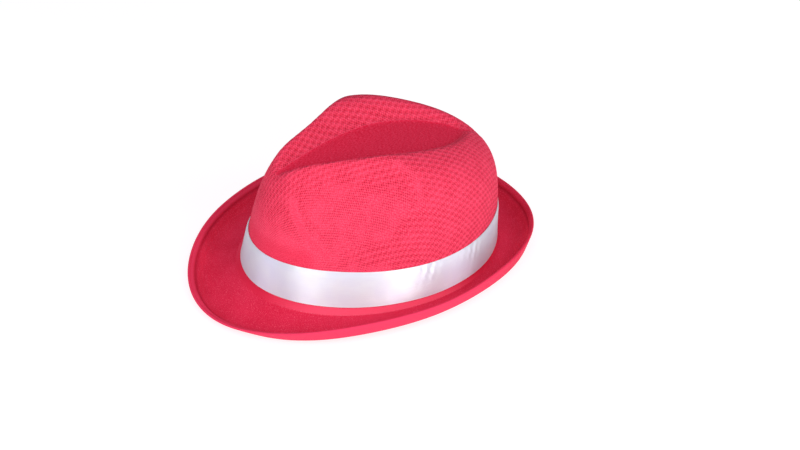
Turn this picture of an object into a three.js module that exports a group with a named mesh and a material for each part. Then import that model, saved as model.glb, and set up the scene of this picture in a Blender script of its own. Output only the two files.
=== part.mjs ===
// A soft trilby hat. Its stiffened open-weave crown has a teardrop crease on top and a pinch on each side of the front.
// The brim dips in front, rises at the sides and the back, and ends in a turned-up lip. A satin ribbon runs round the
// foot of the crown.
//
// Millimetres, +Z up. The front of the hat faces -Y and the wearer's left is +X. The hat stands on z = 0.
import * as THREE from "three";

// The head's oval, measured to the outside of the crown just below its seam, from the widest line
const HEAD_HALF_WIDTH = 88.3;
const HEAD_FRONT = 111.5;
const HEAD_BACK = 103.6;

// Crown: its height above that oval in the middle, its wall, and the foot that flares out and rounds on to the brim
const CROWN_HEIGHT = 123.4;
const CROWN_WALL = 2;
const FOOT_FLARE = 2.4;
const FOOT_RISE = 13.2;
const FOOT_REACH = 2.5;

// Ribbon
const BAND_HEIGHT = 28.1;
const BAND_WALL = 1;

// Brim: the height of its seam with the crown, its widths along the surface from the crown to the edge, and the lip
// turned up at that edge
const SEAM_HEIGHT = 9;
const BRIM_FRONT = 42.3;
const BRIM_SIDE = 36.9;
const BRIM_BACK = 38.6;
const BRIM_WALL = 2;
const LIP_HEIGHT = 14.9;
const LIP_BEND = 7.7;
const LIP_ROOT_ROUND = 4;

// Teardrop crease: its floor's half width at the widest, how far the floor runs to the front and to the back of the
// widest line of the head, its depth below the open crown, its walls' slope, and the rounding of its edge and floor
const CREASE_HALF_WIDTH = 25.4;
const CREASE_FRONT = 78.6;
const CREASE_BACK = 79.7;
const CREASE_DEPTH = 19.6;
const CREASE_WALL_DEGREES = 52;
const CREASE_EDGE_ROUND = 8.7;
const CREASE_FLOOR_ROUND = 4.8;

// Side pinches: depth and radius of the hollow, how softly it meets the crown, and which way it faces
const PINCH_DEPTH = 5;
const PINCH_RADIUS = 48.3;
const PINCH_EDGE_ROUND = 7.7;
const PINCH_DIRECTION_DEGREES = 55.5;
const PINCH_TILT_DEGREES = 22.5;

// How far the soft underside flattens where it stands, and the gap kept between two pieces
const FLATTENING = 0.6;
const CLEARANCE = 0.3;

// Shape by direction, in five equal steps from the front to the back and the same on both sides: squareness of the
// crown's shoulder, shares by which its top leans in and its foot flares, and slopes of the brim and lip in degrees
const DIRECTIONS = [
  { squareness: 3.72, lean: 0.2, flare: 0.76, brimSlope: -11.4, lipSlope: 29.7 },
  { squareness: 4.04, lean: 0.309, flare: 0.75, brimSlope: 5.1, lipSlope: 60 },
  { squareness: 4.5, lean: 0.109, flare: 0.92, brimSlope: 31, lipSlope: 65 },
  { squareness: 4.47, lean: -0.03, flare: 1.36, brimSlope: 26.6, lipSlope: 75 },
  { squareness: 4.32, lean: -0.131, flare: 1.62, brimSlope: 9.8, lipSlope: 64 },
];

// Shares of the named sizes above, and the two powers that draw the crease's floor out to a teardrop
const TOP_LINE = { tilt: -0.162, bow: -0.033 };
const FLARE_TOP = 0.5;
const CREASE_BOTTOM = 0.33;
const EDGE_BULGE = 0.33;
const CREASE_FLOOR = { tilt: -0.032, bow: -0.049 };
const TEARDROP = { front: 1.26, back: 0.77 };
const PINCH_PLACE = { across: 0.568, forward: 0.242, up: 0.869 };

// Mesh density
const COLUMNS = 72;
const FOOT_ROWS = 3;
const CROWN_ROWS = 20;
const BRIM_FLAT_ROWS = 4;
const BRIM_BEND_ROWS = 4;
const BAND_ROWS = 3;

// Finest steps: the nudge that measures a tangent, the steps that add up the brim's slope, the turns that find a
// height on the crown's wall, and the turns that find how far the standing hat tips, within a limit
const NUDGE = 1e-3;
const SLOPE_STEPS = 24;
const HEIGHT_TURNS = 5;
const TIP_TURNS = 40;
const TIP_LIMIT_DEGREES = 15;

const radians = THREE.MathUtils.degToRad;
const table = (name) => DIRECTIONS.map((row) => row[name]);

// The smooth value at a direction round the head (0 is the front, pi the back) of values given at equal steps
function around(values, direction) {
  const last = values.length - 1;
  const share = (i) => (i === 0 || i === last ? 0.5 : 1);
  let sum = 0;
  for (let wave = 0; wave <= last; wave++) {
    let weight = 0;
    for (let i = 0; i <= last; i++) {
      weight += share(i) * values[i] * Math.cos((Math.PI * wave * i) / last);
    }
    sum += ((share(wave) * 2) / last) * weight * Math.cos(wave * direction);
  }
  return sum;
}

// The smaller of two values, with a round passage of the given width between them
function softMin(a, b, width) {
  const h = THREE.MathUtils.clamp(0.5 + (0.5 * (b - a)) / width, 0, 1);
  return b + (a - b) * h - width * h * (1 - h);
}

// The head's egg-shaped oval
function footLine(direction) {
  const length = Math.cos(direction) > 0 ? HEAD_FRONT : HEAD_BACK;
  return new THREE.Vector3(
    HEAD_HALF_WIDTH * Math.sin(direction),
    -length * Math.cos(direction),
    0,
  );
}

// A press on one side of the front, which moves a point of the crown in along the press's own direction
function pinch(point, side) {
  const turn = radians(PINCH_DIRECTION_DEGREES);
  const tilt = radians(PINCH_TILT_DEGREES);
  const out = new THREE.Vector3(
    side * Math.sin(turn) * Math.cos(tilt),
    -Math.cos(turn) * Math.cos(tilt),
    Math.sin(tilt),
  );
  const centre = new THREE.Vector3(
    side * PINCH_PLACE.across * HEAD_HALF_WIDTH,
    -PINCH_PLACE.forward * HEAD_FRONT,
    PINCH_PLACE.up * CROWN_HEIGHT,
  );
  const from = point.clone().sub(centre);
  const height = from.dot(out);
  const sideways = from.addScaledVector(out, -height).length() / PINCH_RADIUS;
  const press = PINCH_DEPTH * (sideways * sideways - 1);
  point.addScaledVector(out, softMin(height, press, PINCH_EDGE_ROUND) - height);
}

// Half the width of the crease's floor, which narrows slowly to the front and quickly to the back
function creaseHalfWidth(y) {
  const { front, back } = TEARDROP;
  const shape = (share) => Math.pow(share, front) * Math.pow(1 - share, back);
  const share = THREE.MathUtils.clamp((y + CREASE_FRONT) / (CREASE_FRONT + CREASE_BACK), 0, 1);
  return (CREASE_HALF_WIDTH * shape(share)) / shape(front / (front + back));
}

// The press from above that sinks the teardrop crease
function crease(point) {
  const along = (2 * point.y) / (CREASE_FRONT + CREASE_BACK);
  const fall = CREASE_FLOOR.tilt * along + CREASE_FLOOR.bow * along * along;
  const floor = CROWN_HEIGHT * (1 + fall) - CREASE_DEPTH;
  const beyond = Math.max(Math.abs(point.x) - creaseHalfWidth(point.y), 0);
  const climb = Math.hypot(beyond, CREASE_FLOOR_ROUND) - CREASE_FLOOR_ROUND;
  const press = floor + Math.tan(radians(CREASE_WALL_DEGREES)) * climb;
  if (point.z > CREASE_BOTTOM * CROWN_HEIGHT) {
    point.z = softMin(point.z, press, CREASE_EDGE_ROUND);
  }
}

// Outside of the crown: rise runs from 0 at the foot to pi / 2 at the middle of the top
function crownPoint(direction, rise) {
  const squareness = around(table("squareness"), direction);
  const cos = Math.max(Math.cos(rise), 0);
  const sin = Math.max(Math.sin(rise), 0);
  const reach = Math.pow(cos ** squareness + sin ** squareness, -1 / squareness);
  const up = reach * sin;
  const lean = 1 - around(table("lean"), direction) * up;
  const inward = 1 - Math.max(1 - up / FLARE_TOP, 0) ** 2;
  const flare = FOOT_FLARE * around(table("flare"), direction) * inward;
  const point = footLine(direction);
  point.multiplyScalar(reach * cos * (lean - flare / point.length()));
  const along = (2 * point.y) / (HEAD_FRONT + HEAD_BACK);
  const top = CROWN_HEIGHT * (1 + TOP_LINE.tilt * along + TOP_LINE.bow * along * along);
  point.z = top * up;
  pinch(point, 1);
  pinch(point, -1);
  crease(point);
  return point;
}

// The rise at which the crown's wall reaches a height above the foot
function riseAt(direction, height) {
  let rise = Math.atan(height / CROWN_HEIGHT);
  for (let turn = 0; turn < HEIGHT_TURNS; turn++) {
    rise = Math.atan((Math.tan(rise) * height) / crownPoint(direction, rise).z);
  }
  return rise;
}

// The brim's upper face at a distance out from the oval, measured along the brim. It starts at the seam's height,
// which it loses evenly until the lip's bend.
function brimPoint(direction, distance) {
  const width = around([BRIM_FRONT, BRIM_SIDE, BRIM_BACK], direction);
  const flat = radians(around(table("brimSlope"), direction));
  const lip = radians(around(table("lipSlope"), direction));
  const bend = width - LIP_HEIGHT;
  let out = 0;
  let up = 0;
  for (let i = 0; i < SLOPE_STEPS; i++) {
    const at = (distance * (i + 0.5)) / SLOPE_STEPS;
    const turned = THREE.MathUtils.smoothstep(at, bend - LIP_BEND / 2, bend + LIP_BEND / 2);
    const slope = flat + (lip - flat) * turned;
    out += (Math.cos(slope) * distance) / SLOPE_STEPS;
    up += (Math.sin(slope) * distance) / SLOPE_STEPS;
  }
  const point = footLine(direction);
  const ahead = footLine(direction + NUDGE).sub(footLine(direction - NUDGE));
  const outward = new THREE.Vector3(ahead.y, -ahead.x, 0).normalize();
  const above = -softMin(0, SEAM_HEIGHT * (distance / bend - 1), LIP_ROOT_ROUND);
  return point.addScaledVector(outward, out).setZ(up + above);
}

// The foot of the crown: a round fillet from the brim (share 0) up to the wall (share 1)
function footPoint(direction, share) {
  const fillet = new THREE.QuadraticBezierCurve3(
    brimPoint(direction, FOOT_REACH),
    footLine(direction).setZ(SEAM_HEIGHT),
    crownPoint(direction, riseAt(direction, FOOT_RISE)),
  );
  return fillet.getPoint(share);
}

// A point moved off a surface by a distance, to the side that its two tangents turn towards
function offset(surface, direction, at, distance) {
  const round = surface(direction + NUDGE, at).sub(surface(direction - NUDGE, at));
  const onward = surface(direction, at + NUDGE).sub(surface(direction, at - NUDGE));
  const normal = round.cross(onward).normalize();
  return surface(direction, at).addScaledVector(normal, distance);
}

const directions = Array.from({ length: COLUMNS }, (_, i) => (2 * Math.PI * i) / COLUMNS);
const ring = (place) => directions.map(place);

// A closed skin over rings of points round the head, each joined to the next. The first and last rings join each
// other, or close on a pole each. Each patch's diagonal is mirrored from one side of the hat to the other.
function skin(rings, poles = []) {
  const points = rings.flat();
  const faces = [];
  const at = (i, j) => (i % rings.length) * COLUMNS + (j % COLUMNS);
  const strips = poles.length ? rings.length - 1 : rings.length;
  for (let i = 0; i < strips; i++) {
    for (let j = 0; j < COLUMNS; j++) {
      const [a, b, c, d] = [at(i, j), at(i, j + 1), at(i + 1, j + 1), at(i + 1, j)];
      const mirrored = j >= COLUMNS / 2;
      faces.push(...(mirrored ? [a, b, d, b, c, d] : [a, b, c, a, c, d]));
    }
  }
  if (poles.length) {
    const first = points.push(poles[0]) - 1;
    const last = points.push(poles[1]) - 1;
    for (let j = 0; j < COLUMNS; j++) {
      faces.push(first, at(0, j + 1), at(0, j));
      faces.push(at(strips, j), at(strips, j + 1), last);
    }
  }
  return { points, faces };
}

// The crown: its inside from the top down to the seam, then its outside back up
function crown() {
  const outside = [];
  const inside = [];
  const add = (surface, at) => {
    outside.push(ring((direction) => surface(direction, at(direction))));
    inside.unshift(ring((direction) => offset(surface, direction, at(direction), -CROWN_WALL)));
  };
  for (let i = 0; i < FOOT_ROWS; i++) {
    add(footPoint, () => i / FOOT_ROWS);
  }
  for (let i = 0; i < BAND_ROWS - 1; i++) {
    const height = FOOT_RISE + (BAND_HEIGHT * i) / (BAND_ROWS - 1);
    add(crownPoint, (direction) => riseAt(direction, height));
  }
  for (let i = 0; i < CROWN_ROWS; i++) {
    add(crownPoint, (direction) => {
      const low = riseAt(direction, FOOT_RISE + BAND_HEIGHT);
      return low + ((Math.PI / 2 - low) * i) / CROWN_ROWS;
    });
  }
  const top = crownPoint(0, Math.PI / 2);
  const lining = top.clone().setZ(top.z - CROWN_WALL);
  return skin([...inside, ...outside], [lining, top]);
}

// The ribbon: its outside from the foot up, then its inside back down
function hatBand() {
  const shares = Array.from({ length: BAND_ROWS }, (_, i) => i / (BAND_ROWS - 1));
  const face = (share, distance) =>
    ring((direction) => {
      const height = FOOT_RISE + CLEARANCE + share * BAND_HEIGHT;
      return offset(crownPoint, direction, riseAt(direction, height), distance);
    });
  const outside = shares.map((share) => face(share, CLEARANCE + BAND_WALL));
  const inside = shares.map((share) => face(share, CLEARANCE));
  return skin([...outside, ...inside.reverse()]);
}

// The brim: its underside from the seam out to the edge, round the edge, and its upper face back in
function brim() {
  const width = (direction) => around([BRIM_FRONT, BRIM_SIDE, BRIM_BACK], direction);
  const seam = FOOT_REACH + CLEARANCE;
  const distances = [];
  for (let i = 0; i < BRIM_FLAT_ROWS; i++) {
    distances.push((direction) => {
      const bendStart = width(direction) - LIP_HEIGHT - LIP_BEND / 2;
      return seam + ((bendStart - seam) * i) / BRIM_FLAT_ROWS;
    });
  }
  for (let i = 0; i < BRIM_BEND_ROWS; i++) {
    const across = (LIP_BEND * i) / (BRIM_BEND_ROWS - 1) - LIP_BEND / 2;
    distances.push((direction) => width(direction) - LIP_HEIGHT + across);
  }
  distances.push(width);
  const under = distances.map((distance) =>
    ring((direction) => offset(brimPoint, direction, distance(direction), BRIM_WALL)),
  );
  const upper = distances.map((distance) =>
    ring((direction) => brimPoint(direction, distance(direction))),
  );
  const edge = ring((direction) => {
    const outer = width(direction) + EDGE_BULGE * BRIM_WALL;
    return offset(brimPoint, direction, outer, BRIM_WALL / 2);
  });
  return skin([...under, edge, ...upper.reverse()]);
}

// Tips the pieces until the front of the brim and the back of the hat stand level, flattens the soft underside where
// it stands, and centres the hat over the origin
function stand(skins) {
  const points = skins.flatMap((piece) => piece.points);
  const lowest = (tip, front) => {
    const turn = new THREE.Matrix4().makeRotationX(tip);
    const half = points.filter((point) => point.y < 0 === front);
    return half.reduce((low, point) => Math.min(low, point.clone().applyMatrix4(turn).z), Infinity);
  };
  let low = radians(-TIP_LIMIT_DEGREES);
  let high = radians(TIP_LIMIT_DEGREES);
  for (let i = 0; i < TIP_TURNS; i++) {
    const tip = (low + high) / 2;
    if (lowest(tip, true) > lowest(tip, false)) {
      low = tip;
    } else {
      high = tip;
    }
  }
  const turn = new THREE.Matrix4().makeRotationX(low);
  points.forEach((point) => point.applyMatrix4(turn));
  const box = new THREE.Box3().setFromPoints(points);
  const middle = box.getCenter(new THREE.Vector3());
  for (const point of points) {
    point.y -= middle.y;
    point.z = Math.max(point.z - box.min.z - FLATTENING, 0);
  }
}

const cloth = { roughness: 0.85, metalness: 0 };
const pieces = {
  crown: { skin: crown(), material: new THREE.MeshStandardMaterial({ color: 0xe23a5e, ...cloth }) },
  brim: { skin: brim(), material: new THREE.MeshStandardMaterial({ color: 0xd42c50, ...cloth }) },
  hat_band: {
    skin: hatBand(),
    material: new THREE.MeshStandardMaterial({ color: 0xf1eef5, roughness: 0.35, metalness: 0 }),
  },
};
stand(Object.values(pieces).map((piece) => piece.skin));

const hat = new THREE.Group();
for (const [name, piece] of Object.entries(pieces)) {
  const geometry = new THREE.BufferGeometry().setFromPoints(piece.skin.points);
  geometry.setIndex(piece.skin.faces);
  geometry.computeVertexNormals();
  const mesh = new THREE.Mesh(geometry, piece.material);
  mesh.name = name;
  hat.add(mesh);
}

export default hat;
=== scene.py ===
# %% [markdown]
# # A red trilby with a white satin ribbon
# The hat is one stiffened cloth crown with a teardrop crease and two side pinches, a narrow brim with a turned-up
# edge, and a satin ribbon round the foot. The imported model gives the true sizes. This lesson dresses it: each soft
# piece is modelled again as a fine mesh on the same surfaces, with its weave, hem and folds, and gets its own cloth.

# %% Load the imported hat
import math

import bpy
import numpy as np
from mathutils import Matrix, Vector


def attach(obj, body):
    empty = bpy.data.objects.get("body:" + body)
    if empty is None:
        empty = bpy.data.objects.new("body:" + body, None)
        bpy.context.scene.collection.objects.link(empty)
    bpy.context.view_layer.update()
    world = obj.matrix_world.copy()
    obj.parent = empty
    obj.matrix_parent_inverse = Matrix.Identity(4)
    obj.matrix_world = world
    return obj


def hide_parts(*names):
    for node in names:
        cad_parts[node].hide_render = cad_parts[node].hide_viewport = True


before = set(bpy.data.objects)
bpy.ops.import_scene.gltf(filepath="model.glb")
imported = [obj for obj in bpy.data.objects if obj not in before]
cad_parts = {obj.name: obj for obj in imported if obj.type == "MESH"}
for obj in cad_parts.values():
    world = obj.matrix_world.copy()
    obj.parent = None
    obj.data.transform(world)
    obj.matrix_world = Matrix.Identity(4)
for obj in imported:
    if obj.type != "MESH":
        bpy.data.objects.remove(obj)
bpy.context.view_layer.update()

# %% [markdown]
# ## The hat's sizes
# A hat is shaped on a block, so a few sizes describe it: the head's oval, the crown's height, and how wide the brim
# is. All of them are in millimetres and in the hat's own frame: the head's oval lies at height 0 just below the seam
# of crown and brim, the front faces -Y and the widest line of the head is at y = 0. What changes round the head is a
# short list of three or five values, from the front over the side to the back.

# %% Sizes of the block and the brim
HEAD_HALF_WIDTH = 88.3
HEAD_FRONT = 111.5
HEAD_BACK = 103.6
CROWN_HEIGHT = 123.4
CROWN_WALL = 2.0
FOOT_FLARE = 2.4
FOOT_RISE = 13.2
FOOT_REACH = 2.5
SEAM_HEIGHT = 9.0
BAND_HEIGHT = 28.1
BRIM_WALL = 2.0
BRIM_WIDTHS = [42.3, 36.9, 38.6]
LIP_HEIGHT = 14.9
LIP_BEND = 7.7
LIP_ROOT_ROUND = 4.0
SQUARENESS = [3.72, 4.04, 4.5, 4.47, 4.32]
LEAN = [0.2, 0.309, 0.109, -0.03, -0.131]
FLARE = [0.76, 0.75, 0.92, 1.36, 1.62]
BRIM_SLOPES = np.radians([-11.4, 5.1, 31, 26.6, 9.8])
LIP_SLOPES = np.radians([29.7, 60, 65, 75, 64])
BAND_TOP = FOOT_RISE + BAND_HEIGHT
oval_round = math.pi * (HEAD_HALF_WIDTH + (HEAD_FRONT + HEAD_BACK) / 2)
print(f"the oval at the crown's foot is about {oval_round:.0f} mm round on the outside")

# %% [markdown]
# ## Smooth change round the head
# The brim dips in front and rises at the sides, and the crown leans differently all the way round. Joining the
# values with straight lines would leave corners, and a hand-drawn curve would be long. A sum of cosines passes
# through all of them, has no corner anywhere, and is the same on the left and on the right.

# %% Helper: a value that changes smoothly round the head
def around(values, direction):
    last = len(values) - 1
    steps = np.arange(last + 1)
    half_ends = np.where(steps % last == 0, 0.5, 1.0)
    total = 0
    for wave in steps:
        weight = (half_ends * values * np.cos(np.pi * wave * steps / last)).sum()
        total = total + 2 / last * half_ends[wave] * weight * np.cos(wave * direction)
    return total


def soft_min(a, b, width):
    share = np.clip(0.5 + 0.5 * (b - a) / width, 0, 1)
    return b + (a - b) * share - width * share * (1 - share)


def smooth(low, high, value):
    share = np.clip((value - low) / (high - low), 0, 1)
    return share * share * (3 - 2 * share)


print("brim slope at the front, side and back:", np.degrees(BRIM_SLOPES[::2]).round(1))

# %% [markdown]
# ## Pinches and crease
# On the real hat a hot press pushes the crease down into the top, and two smaller ones push the pinches in. They
# could be sculpted by hand, but a press is easy to write as a formula: it is a surface that the cloth can't pass, and
# a soft minimum of the cloth and the press gives the round passage between them. How far the cloth was pushed is
# kept, because pressed cloth also looks smoother.

# %% The two presses
CREASE_HALF_WIDTH = 25.4
CREASE_FRONT = 78.6
CREASE_BACK = 79.7
CREASE_DEPTH = 19.6
CREASE_WALL = np.radians(52)
CREASE_EDGE_ROUND = 8.7
CREASE_FLOOR_ROUND = 4.8
CREASE_TILT, CREASE_BOW = -0.032, -0.049
CREASE_BOTTOM = 0.33
TEARDROP_FRONT, TEARDROP_BACK = 1.26, 0.77
PINCH_DEPTH = 5.0
PINCH_RADIUS = 48.3
PINCH_EDGE_ROUND = 7.7
PINCH_DIRECTION = np.radians(55.5)
PINCH_TILT = np.radians(22.5)
PINCH_ACROSS, PINCH_FORWARD, PINCH_UP = 0.568, 0.242, 0.869


def pinch(points, side):
    level = np.cos(PINCH_TILT)
    sin, cos = np.sin(PINCH_DIRECTION), np.cos(PINCH_DIRECTION)
    out = np.array([side * sin * level, -cos * level, np.sin(PINCH_TILT)])
    across = side * PINCH_ACROSS * HEAD_HALF_WIDTH
    centre = np.array([across, -PINCH_FORWARD * HEAD_FRONT, PINCH_UP * CROWN_HEIGHT])
    height = (points - centre) @ out
    sideways = np.linalg.norm(points - centre - height[..., None] * out, axis=-1) / PINCH_RADIUS
    pushed = height - soft_min(height, PINCH_DEPTH * (sideways**2 - 1), PINCH_EDGE_ROUND)
    return points - pushed[..., None] * out, pushed


def teardrop(y):
    share = np.clip((y + CREASE_FRONT) / (CREASE_FRONT + CREASE_BACK), 0, 1)
    peak = TEARDROP_FRONT / (TEARDROP_FRONT + TEARDROP_BACK)
    shape = share**TEARDROP_FRONT * (1 - share) ** TEARDROP_BACK
    return CREASE_HALF_WIDTH * shape / (peak**TEARDROP_FRONT * (1 - peak) ** TEARDROP_BACK)


def crease(points):
    along = 2 * points[..., 1] / (CREASE_FRONT + CREASE_BACK)
    floor = CROWN_HEIGHT * (1 + CREASE_TILT * along + CREASE_BOW * along**2) - CREASE_DEPTH
    beyond = np.maximum(abs(points[..., 0]) - teardrop(points[..., 1]), 0)
    press = floor + np.tan(CREASE_WALL) * (np.hypot(beyond, CREASE_FLOOR_ROUND) - CREASE_FLOOR_ROUND)
    height = points[..., 2]
    high_enough = height > CREASE_BOTTOM * CROWN_HEIGHT
    pushed = np.where(high_enough, height - soft_min(height, press, CREASE_EDGE_ROUND), 0)
    return points - pushed[..., None] * np.array([0, 0, 1]), pushed


print(f"crease {2 * CREASE_HALF_WIDTH:.0f} mm wide at most, {CREASE_FRONT + CREASE_BACK:.0f} mm long")

# %% [markdown]
# ## The crown's surface
# The block is an oval with straight walls, a round shoulder and a slightly bowed top. A turned profile would be
# simpler, but the head isn't round. A superellipse in polar form draws wall, shoulder and top in one sweep: the rise
# goes from 0 at the foot to a quarter turn at the middle of the top, and its squareness says how tight the shoulder
# is.

# %% Helper: a point of the crown
FLARE_TOP = 0.5
TOP_TILT, TOP_BOW = -0.162, -0.033


def foot_line(direction):
    length = np.where(np.cos(direction) > 0, HEAD_FRONT, HEAD_BACK)
    return np.stack([HEAD_HALF_WIDTH * np.sin(direction), -length * np.cos(direction), 0 * direction], -1)


def crown_point(direction, rise):
    direction, rise = np.broadcast_arrays(direction, rise)
    power = around(SQUARENESS, direction)
    cos, sin = np.maximum(np.cos(rise), 1e-9), np.maximum(np.sin(rise), 1e-9)
    reach = (cos**power + sin**power) ** (-1 / power)
    up = reach * sin
    lean = 1 - around(LEAN, direction) * up
    flare = FOOT_FLARE * around(FLARE, direction) * (1 - np.maximum(1 - up / FLARE_TOP, 0) ** 2)
    foot = foot_line(direction)
    points = foot * (reach * cos * (lean - flare / np.linalg.norm(foot, axis=-1)))[..., None]
    along = 2 * points[..., 1] / (HEAD_FRONT + HEAD_BACK)
    points[..., 2] = CROWN_HEIGHT * (1 + TOP_TILT * along + TOP_BOW * along**2) * up
    points, left = pinch(points, 1)
    points, right = pinch(points, -1)
    points, top = crease(points)
    return points, left + right, top


def rise_at(direction, height):
    rise = np.arctan(height / CROWN_HEIGHT) + 0 * direction
    for turn in range(8):
        rise = np.arctan(np.tan(rise) * height / crown_point(direction, rise)[0][..., 2])
    return rise


middle = crown_point(np.array(0.0), np.array(np.pi / 2))[0]
print("middle of the crease's floor:", middle.round(1), "mm")

# %% [markdown]
# ## The brim's surface
# Seen in a section, the brim leaves the crown at one slope and turns up at another near the edge. Adding up small
# steps along that slope keeps the brim's width true however much it bends, where a displaced flat ring would stretch.
# It starts at the seam's height and loses that height evenly until the lip's bend.

# %% Helpers: a point of the brim, and the fillet at the crown's foot
SLOPE_STEPS = 48
NUDGE = 1e-3


def brim_point(direction, distance):
    direction, distance = np.broadcast_arrays(direction, distance)
    bend = around(BRIM_WIDTHS, direction) - LIP_HEIGHT
    flat, lip = around(BRIM_SLOPES, direction), around(LIP_SLOPES, direction)
    out, up = 0, 0
    for step in range(SLOPE_STEPS):
        at = distance * (step + 0.5) / SLOPE_STEPS
        slope = flat + (lip - flat) * smooth(bend - LIP_BEND / 2, bend + LIP_BEND / 2, at)
        out = out + np.cos(slope) * distance / SLOPE_STEPS
        up = up + np.sin(slope) * distance / SLOPE_STEPS
    ahead = foot_line(direction + NUDGE) - foot_line(direction - NUDGE)
    outward = np.stack([ahead[..., 1], -ahead[..., 0], 0 * up], -1)
    outward /= np.linalg.norm(outward, axis=-1, keepdims=True)
    points = foot_line(direction) + outward * out[..., None]
    points[..., 2] = up - soft_min(0, SEAM_HEIGHT * (distance / bend - 1), LIP_ROOT_ROUND)
    return points


def foot_point(direction, share):
    direction, share = np.broadcast_arrays(direction, share)
    low = brim_point(direction, FOOT_REACH)
    high = crown_point(direction, rise_at(direction, FOOT_RISE))[0]
    corner = foot_line(direction) + np.array([0, 0, SEAM_HEIGHT])
    share = share[..., None]
    return (1 - share) ** 2 * low + 2 * share * (1 - share) * corner + share**2 * high


print("edge of the brim at the front:", brim_point(np.array(0.0), np.array(BRIM_WIDTHS[0])).round(1), "mm")

# %% [markdown]
# ## How the hat rests
# Put down by itself, the hat tips a little until the front of its brim and the back of its foot touch the table. The
# pieces are drawn in the hat's own frame, so one function carries them to the table, and the camera goes the same
# way. The soft underside is flattened where it stands.

# %% Helper: from the hat's own frame to the table
TIP = -0.03449
MOVED_BACK = 8.168
LIFTED = 0.421


def turned(points):
    y, z = points[..., 1], points[..., 2]
    cos, sin = np.cos(TIP), np.sin(TIP)
    return np.stack([points[..., 0], cos * y - sin * z, sin * y + cos * z], -1)


def settled(points):
    return turned(points) + np.array([0, MOVED_BACK, LIFTED])


print("the hat tips by", round(math.degrees(TIP), 2), "degrees")

# %% [markdown]
# ## Rings, skins and meshes
# Every piece here is a closed skin over rings round the head, so one set of helpers builds them all: normals of a
# grid of rings, quads between two rings, and triangles where a fine ring meets a coarse one. Writing the meshes as
# arrays is quick and gives the same result every time. A modifier stack would be easier to change by eye, but
# couldn't follow the formulas above.

# %% Helpers for closed skins
def ring_normals(grid):
    round_head = np.roll(grid, -1, axis=1) - np.roll(grid, 1, axis=1)
    onward = np.gradient(grid, axis=0)
    normals = np.cross(round_head, onward)
    return normals / np.linalg.norm(normals, axis=-1, keepdims=True)


def quads(first, second, columns):
    here = np.arange(columns)
    after = (here + 1) % columns
    return np.stack([first + here, first + after, second + after, second + here], -1).tolist()


def narrowing(fine, coarse, columns, ratio):
    faces = []
    for k in range(columns // ratio):
        start, end = coarse + k, coarse + (k + 1) % (columns // ratio)
        outer = [fine + (k * ratio + i) % columns for i in range(ratio + 1)]
        half = ratio // 2 + 1
        faces += [[start, outer[i], outer[i + 1]] for i in range(half)]
        faces += [[start, outer[half], end]]
        faces += [[end, outer[i], outer[i + 1]] for i in range(half, ratio)]
    return faces


def cloth_piece(name, points, faces, **layers):
    resting = settled(points)
    resting[:, 2] = np.maximum(resting[:, 2], 0)
    mesh = bpy.data.meshes.new(name)
    mesh.from_pydata((resting / 1000).tolist(), [], faces)
    for layer, values in layers.items():
        kind = "FLOAT" if values.ndim == 1 else "FLOAT_VECTOR"
        field = "value" if values.ndim == 1 else "vector"
        mesh.attributes.new(layer, kind, "POINT").data.foreach_set(field, values.astype(np.float32).ravel())
    mesh.shade_smooth()
    mesh.set_sharp_from_angle(angle=math.radians(50))
    piece = bpy.data.objects.new(name, mesh)
    bpy.context.scene.collection.objects.link(piece)
    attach(piece, "root")
    print(f"{name}: {len(points)} points, {sum(len(face) - 2 for face in faces)} triangles")
    return piece


# %% [markdown]
# ## The waffle weave
# The crown is cut from one flat piece of open waffle cloth and pulled over the block, so its rows run straight from
# front to back over the top, and turn into diamonds on the quarters of the wall. Wrapping a pattern round the crown
# would miss that. Instead each point of the crown is laid back on the flat cloth: its direction stays, and its
# distance from the middle is measured over the crown. A pinch of bias stretch makes the cells lean.

# %% The waffle as a height over the flat cloth
CELL_ALONG = np.array([1.4, 4.9])
CELL_ACROSS = np.array([5.2, 0.55])
WAFFLE_DEPTH = 0.5

to_cells = np.linalg.inv(np.stack([CELL_ALONG, CELL_ACROSS], -1))


def waffle(flat_cloth):
    along, across = np.moveaxis(2 * np.pi * flat_cloth @ to_cells.T, -1, 0)
    return smooth(-0.1, 0.9, (np.cos(along + across) + np.cos(across)) / 2)


cell_area = abs(np.linalg.det(np.stack([CELL_ALONG, CELL_ACROSS])))
print("one cell covers", round(cell_area, 1), "square mm of cloth")

# %% [markdown]
# ## Rings of the crown
# The foot of the crown is a round fillet that turns out on to the brim, then comes the wall behind the ribbon, and
# then the visible cloth up to the middle of the top. The visible rows are spaced evenly along the cloth, about one
# millimetre apart, so that each waffle cell has points enough to be real relief.

# %% Outside of the crown
COLUMNS = 504
FOOT_ROWS = 10
HIDDEN_ROWS = 10
CROWN_ROWS = 148
FINE_STEPS = 700

direction = 2 * np.pi * np.arange(COLUMNS) / COLUMNS
band_top = rise_at(direction, BAND_TOP)
fine_rise = band_top + (np.pi / 2 - band_top) * np.linspace(0, 1, FINE_STEPS)[:, None]
fine_path = crown_point(direction, fine_rise)[0]
fine_length = np.zeros(fine_rise.shape)
fine_length[1:] = np.cumsum(np.linalg.norm(np.diff(fine_path, axis=0), axis=-1), axis=0)
even = np.linspace(0, 1, CROWN_ROWS, endpoint=False)
rise = np.stack([np.interp(even * fine_length[-1, column], fine_length[:, column], fine_rise[:, column])
                 for column in range(COLUMNS)], 1)

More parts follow.
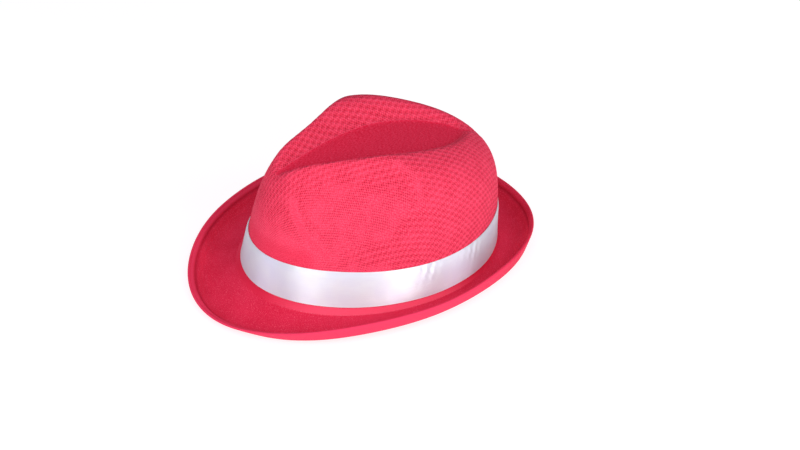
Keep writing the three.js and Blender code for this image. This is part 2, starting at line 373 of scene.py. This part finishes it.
hidden_heights = FOOT_RISE + BAND_HEIGHT * np.arange(HIDDEN_ROWS) / HIDDEN_ROWS
hidden_rise = np.stack([rise_at(direction, height) for height in hidden_heights])
wall, wall_pinch, wall_crease = crown_point(direction, np.concatenate([hidden_rise, rise]))
foot = foot_point(direction, (np.arange(FOOT_ROWS) / FOOT_ROWS)[:, None])
outside = np.concatenate([foot, wall])
top_point = crown_point(np.array(0.0), np.array(np.pi / 2))[0]
print("rings:", len(outside), "cloth above the ribbon:", fine_length[-1].min().round(), "to",
      fine_length[-1].max().round(), "mm")

# %% [markdown]
# ## Laying the crown back on the flat cloth
# The real cloth was flat before it was pressed on a block, and its threads still follow that flat cloth. So the
# distance from the middle of the top is added up from ring to ring, which gives each point its place on the cloth.
# Blender's UV unwrap could do this too, but its result depends on seams, and a sum is the same on every run.

# %% Cloth coordinates
top_ring = np.tile(top_point, (1, COLUMNS, 1))
steps_up = np.linalg.norm(np.diff(np.concatenate([outside, top_ring]), axis=0), axis=-1)
from_top = np.cumsum(steps_up[::-1], axis=0)[::-1]
flat_cloth = from_top[..., None] * np.stack([np.sin(direction), -np.cos(direction)], -1)
height_up = outside[..., 2]
from_front = np.degrees(np.minimum(direction, 2 * np.pi - direction))
print("the cloth reaches", from_top[0].max().round(), "mm from the middle of the top")

# %% [markdown]
# ## How pressed the cloth is
# Pressing flattens the waffle: all of it on the floor of the crease, two thirds of it in the pinches, and more along
# the line where a pinch's press ended. Low in front the stretched cloth is nearly smooth too. Each of these is a
# soft mask made of smooth steps, and the strongest one counts. A painted mask would do as well, but would be lost
# when a size changes. Behind the ribbon there is no waffle. The foot below it is smooth, and lighter along the
# sides, so it gets its own layers.

# %% Masks of the pressed cloth
FLOOR_EDGE = 2.5
IN_PINCH, ON_PRESS_LINE, LOW_IN_FRONT, LOW_AT_SIDE = 0.66, 0.85, 0.88, 0.7
NEAR_SHOULDER = 0.8

no_press = np.zeros((FOOT_ROWS, COLUMNS))
pushed_in = np.concatenate([no_press, wall_pinch])
pushed_down = np.concatenate([no_press, wall_crease])
low_front = smooth(82, 34, from_front) * smooth(BAND_TOP + 60, BAND_TOP + 8, height_up)
low_side = smooth(95, 70, from_front) * smooth(BAND_TOP + 9, BAND_TOP + 3, height_up)
beyond = abs(outside[..., 0]) - np.where(pushed_down > 0, teardrop(outside[..., 1]), 0)
crease_floor = smooth(FLOOR_EDGE + 1.2, FLOOR_EDGE - 0.6, beyond) * smooth(1, 4, pushed_down)
press_line = smooth(0, 0.9, pushed_in) * smooth(3.2, 1.6, pushed_in)
near_front = smooth(65, 45, from_front) * smooth(98, 88, height_up)
near_shoulder = NEAR_SHOULDER * smooth(72, 88, from_front) * smooth(74, 92, height_up)
pressed = np.maximum.reduce([
    crease_floor,
    IN_PINCH * smooth(0.6, 4.5, pushed_in) * smooth(116, 90, height_up),
    ON_PRESS_LINE * press_line * np.maximum(near_front, near_shoulder),
    LOW_IN_FRONT * low_front,
    LOW_AT_SIDE * low_side,
])
above_ribbon_foot = smooth(FOOT_RISE - 1, FOOT_RISE + 1, height_up)
behind_ribbon = above_ribbon_foot * smooth(BAND_TOP + 1, BAND_TOP - 1, height_up)
relief = WAFFLE_DEPTH * (1 - pressed) * (1 - behind_ribbon)
relief[:FOOT_ROWS] = 0
pressed[:FOOT_ROWS] = 1
seam = np.zeros(pressed.shape)
seam[:FOOT_ROWS] = smooth(0.05, 0.35, np.arange(FOOT_ROWS) / FOOT_ROWS)[:, None]
seam_side = smooth(10, 50, from_front) * smooth(125, 95, from_front) + 0 * seam
print("share of the crown pressed flat:", round(float((pressed > 0.5).mean()), 2))

# %% [markdown]
# ## Small unevenness
# A pressed cloth hat is never as true as its block: walls swell by a few tenths of a millimetre. A handful of long,
# low waves with seeded random directions does this, and being a formula it is the same on every run.

# %% Helper: long low waves
CROWN_SWELL, CROWN_SWELL_LENGTH = 0.28, 60

chance = np.random.default_rng(7)


def long_waves(points, size, length, count=10):
    total = 0
    for wave in range(count):
        way = chance.normal(size=3)
        way *= 2 * np.pi / (length * np.linalg.norm(way) * chance.uniform(0.7, 1.6))
        total = total + np.sin(points @ way + chance.uniform(0, 2 * np.pi))
    return size * total / math.sqrt(count)


normals = ring_normals(outside)
swell = long_waves(outside, CROWN_SWELL, CROWN_SWELL_LENGTH) * smooth(BAND_TOP, BAND_TOP + 15, height_up)
print("walls swell by", swell.min().round(2), "to", swell.max().round(2), "mm")

# %% [markdown]
# ## The crown's mesh
# The crown is one stiffened cloth. Its outside is moved in by the waffle, and a little in and out by the swells. A
# solidify modifier could give a thin sheet its thickness, but it would copy every dimple to the inside. The inside
# is drawn plain here and three times coarser, which saves about 150,000 triangles.

# %% The crown's mesh, with its inside
COARSE = 3
shown = outside + normals * (swell - relief * waffle(flat_cloth))[..., None]
inside = outside[::COARSE, ::COARSE] - ring_normals(outside)[::COARSE, ::COARSE] * CROWN_WALL
inside_top = top_point - np.array([0, 0, CROWN_WALL])
outer_count, inner_columns = shown.shape[0] * COLUMNS, COLUMNS // COARSE
crown_points = np.concatenate([shown.reshape(-1, 3), inside.reshape(-1, 3), [top_point, inside_top]])
faces = []
for ring in range(len(shown) - 1):
    faces += quads(ring * COLUMNS, (ring + 1) * COLUMNS, COLUMNS)
last_ring = (len(shown) - 1) * COLUMNS
faces += [[last_ring + j, last_ring + (j + 1) % COLUMNS, len(crown_points) - 2] for j in range(COLUMNS)]
faces += [face[::-1] for face in narrowing(0, outer_count, COLUMNS, COARSE)]
for ring in range(len(inside) - 1):
    start = outer_count + ring * inner_columns
    faces += [face[::-1] for face in quads(start, start + inner_columns, inner_columns)]
last_ring = outer_count + (len(inside) - 1) * inner_columns
inner_top = len(crown_points) - 1
faces += [[last_ring + (j + 1) % inner_columns, last_ring + j, inner_top] for j in range(inner_columns)]

flat_inside = flat_cloth[::COARSE, ::COARSE]
cloth = np.concatenate([flat_cloth.reshape(-1, 2), flat_inside.reshape(-1, 2), np.zeros((2, 2))])
cloth = np.concatenate([cloth, np.zeros((len(cloth), 1))], -1)
layers = {name: np.concatenate([grid.ravel(), grid[::COARSE, ::COARSE].ravel(), [grid[-1, 0]] * 2])
          for name, grid in {"pressed": pressed, "seam": seam, "seam_side": seam_side}.items()}
crown_piece = cloth_piece("crown_weave", crown_points, faces, cloth=cloth, **layers)
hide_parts("crown")

# %% [markdown]
# ## The brim
# The brim is a finer cloth, sewn on under the fillet. Its edge is rolled and stitched, which gives the round rim and
# the groove beside it. A bevel on a flat edge would look like cut card, so the section is drawn: the upper face, a
# round rim, and the underside back in.

# %% Section of the brim
BRIM_SWELL, BRIM_SWELL_LENGTH = 0.35, 90
BRIM_COLUMNS = 432
FLAT_ROWS = 16
LIP_ROWS = 22
RIM_ROWS = 10
RIM_WIDTH = 4.6
RIM_SWELL = 0.75
GROOVE_DEPTH = 0.55
GROOVE_WIDTH = 2.2

brim_direction = 2 * np.pi * np.arange(BRIM_COLUMNS) / BRIM_COLUMNS
width = around(BRIM_WIDTHS, brim_direction)
bend_start = width - LIP_HEIGHT - LIP_BEND
shares = np.linspace(0, 1, FLAT_ROWS, endpoint=False)[:, None]
flat_part = FOOT_REACH + (bend_start - FOOT_REACH) * shares
lip_part = bend_start + (width - bend_start) * np.linspace(0, 1, LIP_ROWS)[:, None]
distance = np.concatenate([flat_part, lip_part])
upper = brim_point(brim_direction, distance)
brim_normals = -ring_normals(upper)
to_edge = width - distance
rim = np.sqrt(np.clip(1 - ((to_edge - RIM_WIDTH / 2) / (RIM_WIDTH / 2)) ** 2, 0, 1)) * (to_edge < RIM_WIDTH)
groove = np.exp(-(((to_edge - RIM_WIDTH - GROOVE_WIDTH / 2) / GROOVE_WIDTH) ** 2) * 2)
print("brim is", width.min().round(1), "to", width.max().round(1), "mm wide along the cloth")

# %% [markdown]
# ## The brim's mesh
# The section is swept round the head, with each column at its own width and slope, and the last ring is joined to
# the first one. Extruding an edge loop by hand would give the same skin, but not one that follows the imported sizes.

# %% The brim's mesh
brim_swell = long_waves(upper, BRIM_SWELL, BRIM_SWELL_LENGTH) * smooth(0, 12, distance - FOOT_REACH)
upper_face = upper + brim_normals * (brim_swell + RIM_SWELL * rim - GROOVE_DEPTH * groove)[..., None]
under_face = upper + brim_normals * (brim_swell - BRIM_WALL)[..., None]
edge_middle = (upper_face[-1] + under_face[-1]) / 2
edge_half = (upper_face[-1] - under_face[-1]) / 2
edge_out = np.cross(edge_half, np.roll(edge_middle, -1, axis=0) - np.roll(edge_middle, 1, axis=0))
edge_out *= -(np.linalg.norm(edge_half, axis=-1) / np.linalg.norm(edge_out, axis=-1))[:, None]
turn = np.pi * np.arange(1, RIM_ROWS) / RIM_ROWS
edge = edge_middle + np.cos(turn)[:, None, None] * edge_half + np.sin(turn)[:, None, None] * edge_out
section = np.concatenate([upper_face, edge, under_face[::-1]])
faces = []
for ring in range(len(section)):
    faces += quads(ring * BRIM_COLUMNS, (ring + 1) % len(section) * BRIM_COLUMNS, BRIM_COLUMNS)
faces = [face[::-1] for face in faces]

plan = section[..., :2].reshape(-1, 2)
brim_cloth = np.concatenate([plan, section[..., 2].reshape(-1, 1)], -1)
brim_from_front = np.degrees(np.minimum(brim_direction, 2 * np.pi - brim_direction))
# Painted light: the rim and the outside of the turned-up edge get a paler colour, strong in front and at the sides
# and weak at the back.
rim_painted_light = 0.1 + 0.9 * smooth(150, 90, brim_from_front)
outer_rows = np.ones((RIM_ROWS - 1, BRIM_COLUMNS))
painted_rim_share = rim_painted_light * np.concatenate([rim, outer_rows, smooth(32, 20, to_edge)[::-1]])
# Painted shade: the groove beside the rim is darkened in colour.
painted_groove_shade = np.concatenate([groove, np.zeros((RIM_ROWS - 1, BRIM_COLUMNS)), 0 * groove])
# The rim layer carries the painted light on the rim into the brim's material.
brim_piece = cloth_piece("brim_cloth", section.reshape(-1, 3), faces, cloth=brim_cloth,
                         rim=np.clip(painted_rim_share.ravel(), 0, 1), groove=painted_groove_shade.ravel())
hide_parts("brim")

# %% [markdown]
# ## The ribbon
# A satin ribbon is pulled round the foot of the crown. How it is joined doesn't show, so it is a plain closed loop.
# A perfectly even one would look like plastic: the real one has long shallow swells, and small puckers on the near
# rear quarter under its upper edge. They are added as heights along the surface's normals. The selvages stand a
# little proud, and the upper one is tucked close to the crown, so that no dark gap shows behind it.

# %% The ribbon's surface
RIBBON_COLUMNS = 576
RIBBON_ROWS = 18
RIBBON_CLEARANCE = 0.35
RIBBON_WALL = 0.9
RIBBON_SWELL, RIBBON_SWELL_LENGTH = 0.22, 45
SELVAGE, SELVAGE_HEIGHT = 1.0, 0.12
TUCK = 0.65
PUCKER_HEIGHT = 0.3
PUCKER_LENGTHS = 7.3, 4.9

ribbon_direction = 2 * np.pi * np.arange(RIBBON_COLUMNS) / RIBBON_COLUMNS
up_share = np.linspace(0, 1, RIBBON_ROWS)
ribbon_heights = FOOT_RISE + 0.3 + BAND_HEIGHT * up_share
ribbon_rise = np.stack([rise_at(ribbon_direction, ribbon_height) for ribbon_height in ribbon_heights])
on_wall = crown_point(ribbon_direction, ribbon_rise)[0]
ribbon_normals = ring_normals(on_wall)
steps_round = np.linalg.norm(np.roll(on_wall[0], -1, axis=0) - on_wall[0], axis=-1)
round_mm = np.concatenate([[0], np.cumsum(steps_round)[:-1]])
up_mm = BAND_HEIGHT * up_share[:, None] + 0 * round_mm
ribbon_degrees = np.degrees(ribbon_direction)
pucker_place = smooth(86, 96, ribbon_degrees) * smooth(130, 118, ribbon_degrees)
lines = np.sin(2 * np.pi * (round_mm - 0.35 * up_mm) / PUCKER_LENGTHS[0])
lines = lines + 0.6 * np.sin(2 * np.pi * (round_mm + 0.5 * up_mm) / PUCKER_LENGTHS[1])
puckers = PUCKER_HEIGHT * pucker_place * smooth(0.35, 0.85, up_share)[:, None] * lines
swells = long_waves(on_wall, RIBBON_SWELL, RIBBON_SWELL_LENGTH)
lower_selvage = smooth(SELVAGE, 0.4, up_mm)
upper_selvage = smooth(BAND_HEIGHT - SELVAGE, BAND_HEIGHT - 0.4, up_mm)
selvage = SELVAGE_HEIGHT * np.maximum(lower_selvage, upper_selvage)
tuck = 1 - TUCK * smooth(0.82, 1, up_share)[:, None]
lift = np.maximum(swells + puckers, -0.2) * tuck
out_by = (RIBBON_CLEARANCE + RIBBON_WALL + selvage) * tuck + lift
in_by = RIBBON_CLEARANCE * tuck + np.maximum(lift, 0)
ribbon_out = on_wall + ribbon_normals * out_by[..., None]
ribbon_in = on_wall + ribbon_normals * in_by[..., None]
print("under the ribbon's lower edge the crown is", steps_round.sum().round(), "mm round")

# %% [markdown]
# ## The ribbon's mesh
# The outer and the inner face are joined at both selvages, so the ribbon has a real thickness and its edges catch
# light. A curve with a bevel would be quicker, but could not follow the crown's wall. Each point also keeps its
# place along and across the ribbon, because the satin's threads run along it.

# %% The ribbon's mesh
loop = np.concatenate([ribbon_out, ribbon_in[::-1]])
faces = []
for ring in range(len(loop)):
    faces += quads(ring * RIBBON_COLUMNS, (ring + 1) % len(loop) * RIBBON_COLUMNS, RIBBON_COLUMNS)
weft = np.stack([0 * up_mm + round_mm, up_mm, 0 * up_mm], -1)
weft = np.concatenate([weft, weft[::-1]]).reshape(-1, 3)
ribbon_piece = cloth_piece("satin_ribbon", loop.reshape(-1, 3), faces, cloth=weft)
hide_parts("hat_band")

# %% [markdown]
# ## Writing materials
# Each finish is a small node graph. A helper adds a node, sets its values and links its inputs in one line, which
# keeps the recipes readable. All three cloths share the Principled shader: what differs is colour, sheen and weave.

# %% Helpers for node graphs
def new_material(name):
    material = bpy.data.materials.new(name)
    material.use_nodes = True
    return material, material.node_tree.nodes["Principled BSDF"]


def add(tree, kind, inputs=(), **settings):
    node = tree.nodes.new(kind)
    for key, value in settings.items():
        setattr(node, key, value)
    for socket, value in dict(inputs).items():
        if isinstance(value, bpy.types.NodeSocket):
            tree.links.new(value, node.inputs[socket])
        else:
            node.inputs[socket].default_value = value
    return node


def sums(tree, operation, *values):
    return add(tree, "ShaderNodeMath", dict(enumerate(values)), operation=operation).outputs[0]


def between(tree, value, low, high, out_low=0.0, out_high=1.0):
    inputs = {"Value": value, "From Min": low, "From Max": high, "To Min": out_low, "To Max": out_high}
    return add(tree, "ShaderNodeMapRange", inputs, interpolation_type="SMOOTHSTEP").outputs["Result"]


def mixed(tree, share, first, second):
    inputs = {"Factor": share, "A": first, "B": second}
    node = add(tree, "ShaderNodeMix", data_type="RGBA")
    for name, value in inputs.items():
        kind = "VALUE" if name == "Factor" else "RGBA"
        socket = next(s for s in node.inputs if s.name == name and s.type == kind)
        if isinstance(value, bpy.types.NodeSocket):
            tree.links.new(value, socket)
        else:
            socket.default_value = value
    return next(s for s in node.outputs if s.type == "RGBA")


def attribute(tree, name, output="Vector"):
    return add(tree, "ShaderNodeAttribute", attribute_name=name).outputs[output]


def noise(tree, vector, scale, detail, output="Fac"):
    return add(tree, "ShaderNodeTexNoise", {"Vector": vector, "Scale": scale, "Detail": detail}).outputs[output]


def stretched(tree, vector, factors):
    return add(tree, "ShaderNodeVectorMath", {0: vector, 1: factors}, operation="MULTIPLY").outputs["Vector"]


def dot(tree, vector, weights):
    inputs = {0: vector, 1: (*weights, 0.0)}
    return add(tree, "ShaderNodeVectorMath", inputs, operation="DOT_PRODUCT").outputs["Value"]


def cosine(tree, value, turns=1.0):
    return sums(tree, "COSINE", sums(tree, "MULTIPLY", value, 2 * math.pi * turns))


def bumped(tree, shader, height, distance, strength):
    inputs = {"Height": height, "Distance": distance, "Strength": strength}
    bump = add(tree, "ShaderNodeBump", inputs).outputs["Normal"]
    tree.links.new(bump, shader.inputs["Normal"])


print("node helpers ready")

# %% [markdown]
# ## The weave as a pattern
# The crown's cloth is an open waffle: dark dimples in a net of bright threads, and a fine grid of pinholes where it
# was pressed flat. Two crossing waves draw the dimples, and two shorter ones the pinholes. An image would fix the
# scale, so the shader reads the same cloth coordinates as the mesh, and the dimples line up with the real relief. A
# little noise moves the threads and varies their strength, or else the cloth would look printed.

# %% Waffle and pinholes
DRIFT_MM = 1.2
SPECK_STRENGTH = 2.4
KNOT_SHARE = 0.12

crown_material, shader = new_material("waffle_cloth")
tree = crown_material.node_tree
flat = attribute(tree, "cloth")
press = attribute(tree, "pressed", "Fac")
specks = noise(tree, flat, 0.9, 3.0)
patchy = noise(tree, flat, 0.08, 4.0)
wander = noise(tree, flat, 0.05, 2.0, "Color")
drift = add(tree, "ShaderNodeVectorMath", {0: wander, 3: DRIFT_MM}, operation="SCALE").outputs["Vector"]
drifted = add(tree, "ShaderNodeVectorMath", {0: flat, 1: drift}, operation="ADD").outputs["Vector"]
cell_a = dot(tree, drifted, to_cells[0])
cell_b = dot(tree, drifted, to_cells[1])
slanting = sums(tree, "ADD", cell_a, cell_b)
crossing = sums(tree, "ADD", cosine(tree, slanting), cosine(tree, cell_b))
knots = cosine(tree, sums(tree, "MULTIPLY_ADD", slanting, 2.0, cell_b))
knotted = sums(tree, "MULTIPLY_ADD", knots, KNOT_SHARE, crossing)
uneven = sums(tree, "MULTIPLY_ADD", specks, SPECK_STRENGTH, -SPECK_STRENGTH / 2)
dark = between(tree, sums(tree, "ADD", knotted, uneven), -1.1, 1.7)
dimples = sums(tree, "MULTIPLY", dark, between(tree, press, 0.95, 0.1))
weft_wave = cosine(tree, sums(tree, "MULTIPLY_ADD", cell_a, 3.0, cell_b))
backwards = sums(tree, "MULTIPLY", cell_a, -1.0)
warp_wave = cosine(tree, sums(tree, "MULTIPLY_ADD", cell_b, 2.0, backwards))
pinholes = between(tree, sums(tree, "ADD", weft_wave, warp_wave), -0.8, 1.6)
print("weave drawn with", len(tree.nodes), "nodes")

# %% [markdown]
# ## The waffle cloth's colour
# The pattern only darkens the red. How much of each part shows depends on how pressed the cloth is: dimples fade
# out, pinholes come in and fade again where the cloth is quite flat. The crease's floor gets a darker, streaky red,
# and the foot a lighter one with a few bright stitches along its seam. Little sheen and little shine keep it dull.

# %% Waffle cloth material
DIMPLE_SHADE = 0.44

coming_in = between(tree, press, 0.0, 0.5, 0.42, 0.62)
fading = between(tree, press, 1.05, 0.6)
fine_share = sums(tree, "MULTIPLY", coming_in, fading)
fine_share = sums(tree, "MULTIPLY", fine_share, between(tree, patchy, 0.35, 0.6, 0.5, 1.25))
fine_shade = sums(tree, "MULTIPLY", pinholes, fine_share)
shade = sums(tree, "MULTIPLY_ADD", dimples, DIMPLE_SHADE, fine_shade)
streaks = noise(tree, stretched(tree, flat, (1.7, 0.5, 1.0)), 1.0, 3.0)
speck_share = between(tree, specks, 0.35, 0.65)
thread_red = mixed(tree, speck_share, (0.82, 0.036, 0.090, 1), (0.92, 0.092, 0.168, 1))
streak_share = between(tree, streaks, 0.45, 0.58)
floor_red = mixed(tree, streak_share, (0.68, 0.010, 0.044, 1), (0.80, 0.044, 0.098, 1))
pressed_red = mixed(tree, between(tree, press, 0.8, 0.95), thread_red, floor_red)

seam = attribute(tree, "seam", "Fac")
seam_side = attribute(tree, "seam_side", "Fac")
foot_red = mixed(tree, seam_side, (0.72, 0.022, 0.064, 1), (0.91, 0.078, 0.148, 1))
seam_edge = sums(tree, "MULTIPLY", between(tree, seam, 0.0, 0.6), between(tree, seam, 1.0, 0.6))
bright_specks = sums(tree, "MULTIPLY", between(tree, specks, 0.5, 0.62), seam_side)
stitches = sums(tree, "MULTIPLY", seam_edge, bright_specks)
stitched_red = mixed(tree, stitches, foot_red, (1.0, 0.24, 0.34, 1))
cloth_red = mixed(tree, seam, pressed_red, stitched_red)
colour = mixed(tree, shade, cloth_red, (0.46, 0.009, 0.028, 1))
tree.links.new(colour, shader.inputs["Base Color"])

thread = sums(tree, "MULTIPLY", cosine(tree, cell_a, 6), cosine(tree, cell_b, 6))
height = sums(tree, "ADD", sums(tree, "MULTIPLY", dimples, -0.5), sums(tree, "MULTIPLY", pinholes, -0.22))
height = sums(tree, "MULTIPLY_ADD", thread, 0.06, height)
bumped(tree, shader, height, 0.0005, 0.9)
shader.inputs["Roughness"].default_value = 0.78
shader.inputs["Sheen Weight"].default_value = 0.04
shader.inputs["Sheen Roughness"].default_value = 0.45
shader.inputs["Sheen Tint"].default_value = (1.0, 0.35, 0.5, 1)
shader.inputs["Specular IOR Level"].default_value = 0.06
crown_piece.data.materials.append(crown_material)
print("waffle cloth:", len(tree.nodes), "nodes")

# %% [markdown]
# ## Brim cloth
# The brim is covered with a close, fine weave whose threads hardly show at arm's length. A little cloudiness, a fine
# crossed grain and light lint are enough. Painted shade darkens the groove beside the rim. Painted light makes the
# rolled rim and the outside of the turned-up edge paler, most of all in front and at the sides. An image could hold
# all this, but would fix the scale.

# %% Fine brim cloth material
brim_material, shader = new_material("fine_cloth")
tree = brim_material.node_tree
flat = attribute(tree, "cloth")
painted_rim_share = attribute(tree, "rim", "Fac")
painted_groove_shade = attribute(tree, "groove", "Fac")
warp_wave = cosine(tree, dot(tree, flat, (0.55, 0.08)))
weft_wave = cosine(tree, dot(tree, flat, (-0.08, 0.55)))
grain = sums(tree, "MULTIPLY", warp_wave, weft_wave)
cloud = noise(tree, flat, 0.035, 3.0)
lint = noise(tree, flat, 1.6, 2.0)
cloud_share = between(tree, cloud, 0.3, 0.7)
base = mixed(tree, cloud_share, (0.68, 0.016, 0.055, 1), (0.75, 0.024, 0.072, 1))
grained = mixed(tree, between(tree, grain, -0.2, 1.0, 0.0, 0.28), base, (0.50, 0.008, 0.030, 1))
linted = mixed(tree, between(tree, lint, 0.52, 0.68, 0.0, 0.48), grained, (0.95, 0.12, 0.20, 1))
# Painted light: the rim is mixed toward a paler pink.
rim_painted_lit = mixed(tree, sums(tree, "MULTIPLY", painted_rim_share, 0.85), linted, (0.80, 0.046, 0.115, 1))
# Painted shade: the groove is mixed toward a dark red.
groove_shaded = mixed(tree, sums(tree, "MULTIPLY", painted_groove_shade, 0.5), rim_painted_lit, (0.34, 0.004, 0.022, 1))
tree.links.new(groove_shaded, shader.inputs["Base Color"])
height = sums(tree, "ADD", sums(tree, "MULTIPLY", grain, 0.35), sums(tree, "MULTIPLY", lint, 0.3))
bumped(tree, shader, height, 0.0002, 0.7)
shader.inputs["Roughness"].default_value = 0.75
shader.inputs["Sheen Weight"].default_value = 0.04
shader.inputs["Sheen Roughness"].default_value = 0.4
shader.inputs["Sheen Tint"].default_value = (1.0, 0.35, 0.5, 1)
shader.inputs["Specular IOR Level"].default_value = 0.06
brim_piece.data.materials.append(brim_material)
print("fine cloth:", len(tree.nodes), "nodes")

# %% [markdown]
# ## Satin
# Satin is woven so that long threads lie on top, and they run round the hat. Such threads spread a highlight
# across themselves, so each light shows as an upright streak. Full anisotropy does that once it is turned by a
# quarter, and some metallic share gives the streaks their strength. A low roughness alone would look like wet
# plastic. The white is slightly lilac, as bleached satin is.

# %% Satin material
satin_material, shader = new_material("white_satin")
tree = satin_material.node_tree
flat = attribute(tree, "cloth")
threads = noise(tree, stretched(tree, flat, (0.06, 3.0, 1.0)), 1.0, 4.0)
cloud = noise(tree, flat, 0.05, 2.0)
base = mixed(tree, between(tree, cloud, 0.3, 0.7), (0.88, 0.90, 1.0, 1), (0.92, 0.95, 1.0, 1))
threaded = mixed(tree, between(tree, threads, 0.4, 0.8, 0.0, 0.35), base, (0.81, 0.80, 0.94, 1))
tree.links.new(threaded, shader.inputs["Base Color"])
height = sums(tree, "MULTIPLY_ADD", cloud, 2.0, threads)
bumped(tree, shader, height, 0.00025, 0.6)
shader.inputs["Metallic"].default_value = 0.6
shader.inputs["Roughness"].default_value = 0.5
shader.inputs["Anisotropic"].default_value = 1.0
shader.inputs["Anisotropic Rotation"].default_value = 0.25
ribbon_piece.data.materials.append(satin_material)
print("satin:", len(tree.nodes), "nodes")

# %% [markdown]
# ## Camera
# The photograph was taken from the hat's left front. The camera that fits its outlines best looks down by about 34
# degrees, with a long lens, from about 1.6 metres. It could be aimed by hand with a tracking constraint, but here it
# is placed in the hat's own frame and carried to the table with it, so the fit is kept.

# %% Place the camera
CAMERA_AZIMUTH = math.radians(62.9)
CAMERA_ELEVATION = math.radians(34.3)
CAMERA_DISTANCE = 1589.7
LENS = 90
LOOKED_AT = np.array([0, 0, 48.25])
AIM_RIGHT, AIM_DOWN = 21.9, 17.1

level = math.cos(CAMERA_ELEVATION)
sin, cos = math.sin(CAMERA_AZIMUTH), math.cos(CAMERA_AZIMUTH)
back = np.array([sin * level, -cos * level, math.sin(CAMERA_ELEVATION)])
right = np.array([cos, sin, 0])
up = np.cross(back, right)
spot = settled(LOOKED_AT + CAMERA_DISTANCE * back)
aim = settled(LOOKED_AT + AIM_RIGHT * right - AIM_DOWN * up)
z_axis = (spot - aim) / np.linalg.norm(spot - aim)
x_axis = np.cross(turned(up), z_axis)
x_axis /= np.linalg.norm(x_axis)
placing = np.eye(4)
placing[:3] = np.stack([x_axis, np.cross(z_axis, x_axis), z_axis, spot / 1000], -1)
camera_data = bpy.data.cameras.new("camera")
camera_data.lens = LENS
camera_data.sensor_width = 36
camera = bpy.data.objects.new("camera", camera_data)
bpy.context.scene.collection.objects.link(camera)
camera.matrix_world = Matrix(placing.tolist())
bpy.context.scene.camera = camera
print("camera stands at", (spot / 1000).round(3), "m")

# %% [markdown]
# ## Light and floor
# The hat was photographed on white under broad, soft light. A wide panel above the camera and a pale world light
# the cloth. Two narrow upright panels, to the left and to the right of the camera, draw the two streaks on the
# satin. Two weaker, slightly lilac panels at the far left and the far right lift the ribbon's ends. The floor glows
# a little, as a light table does, so it stays white and keeps only a soft shadow. One large light would be simpler,
# but the satin would show a single broad glare.

# %% Panels, world and floor
PANEL_DISTANCE = 1.7
PANEL_AIM_HEIGHT = 0.06
WORLD_STRENGTH = 0.31
FLOOR_GLOW = 0.74
FLOOR_HALF = 6


def panel(name, azimuth, elevation, size, power, colour=(1, 1, 1)):
    data = bpy.data.lights.new(name, "AREA")
    data.shape = "RECTANGLE"
    data.size, data.size_y = size
    data.energy = power
    data.color = colour
    light = bpy.data.objects.new(name, data)
    a, e = math.radians(azimuth), math.radians(elevation)
    way = np.array([math.sin(a) * math.cos(e), -math.cos(a) * math.cos(e), math.sin(e)])
    light.location = way * PANEL_DISTANCE + np.array([0, 0, PANEL_AIM_HEIGHT])
    light.rotation_mode = "QUATERNION"
    light.rotation_quaternion = Vector(way).to_track_quat("Z", "Y")
    bpy.context.scene.collection.objects.link(light)


panel("high_panel", 66, 48, (1.3, 0.5), 9.0)
panel("streak_left", 31, 22, (0.25, 1.0), 6.6)
panel("streak_right", 96, 20, (0.35, 1.0), 11)
panel("left_panel", -16, 30, (0.9, 0.6), 3.0, (1.0, 0.88, 1.2))
panel("rear_panel", 140, 30, (0.5, 0.8), 5.4, (0.96, 0.96, 1.1))

world = bpy.data.worlds.new("pale_room")
world.use_nodes = True
world.node_tree.nodes["Background"].inputs["Color"].default_value = (1.0, 0.94, 1.06, 1)
world.node_tree.nodes["Background"].inputs["Strength"].default_value = WORLD_STRENGTH
bpy.context.scene.world = world
bpy.context.scene.view_settings.view_transform = "Standard"

floor_mesh = bpy.data.meshes.new("floor")
corners = [(x * FLOOR_HALF, y * FLOOR_HALF, 0) for x, y in ((-1, -1), (1, -1), (1, 1), (-1, 1))]
floor_mesh.from_pydata(corners, [], [(0, 1, 2, 3)])
floor = bpy.data.objects.new("floor", floor_mesh)
bpy.context.scene.collection.objects.link(floor)
floor_material, shader = new_material("pale_floor")
shader.inputs["Base Color"].default_value = (0.4, 0.4, 0.4, 1)
shader.inputs["Roughness"].default_value = 0.9
shader.inputs["Emission Color"].default_value = (1, 1, 1, 1)
shader.inputs["Emission Strength"].default_value = FLOOR_GLOW
floor_mesh.materials.append(floor_material)
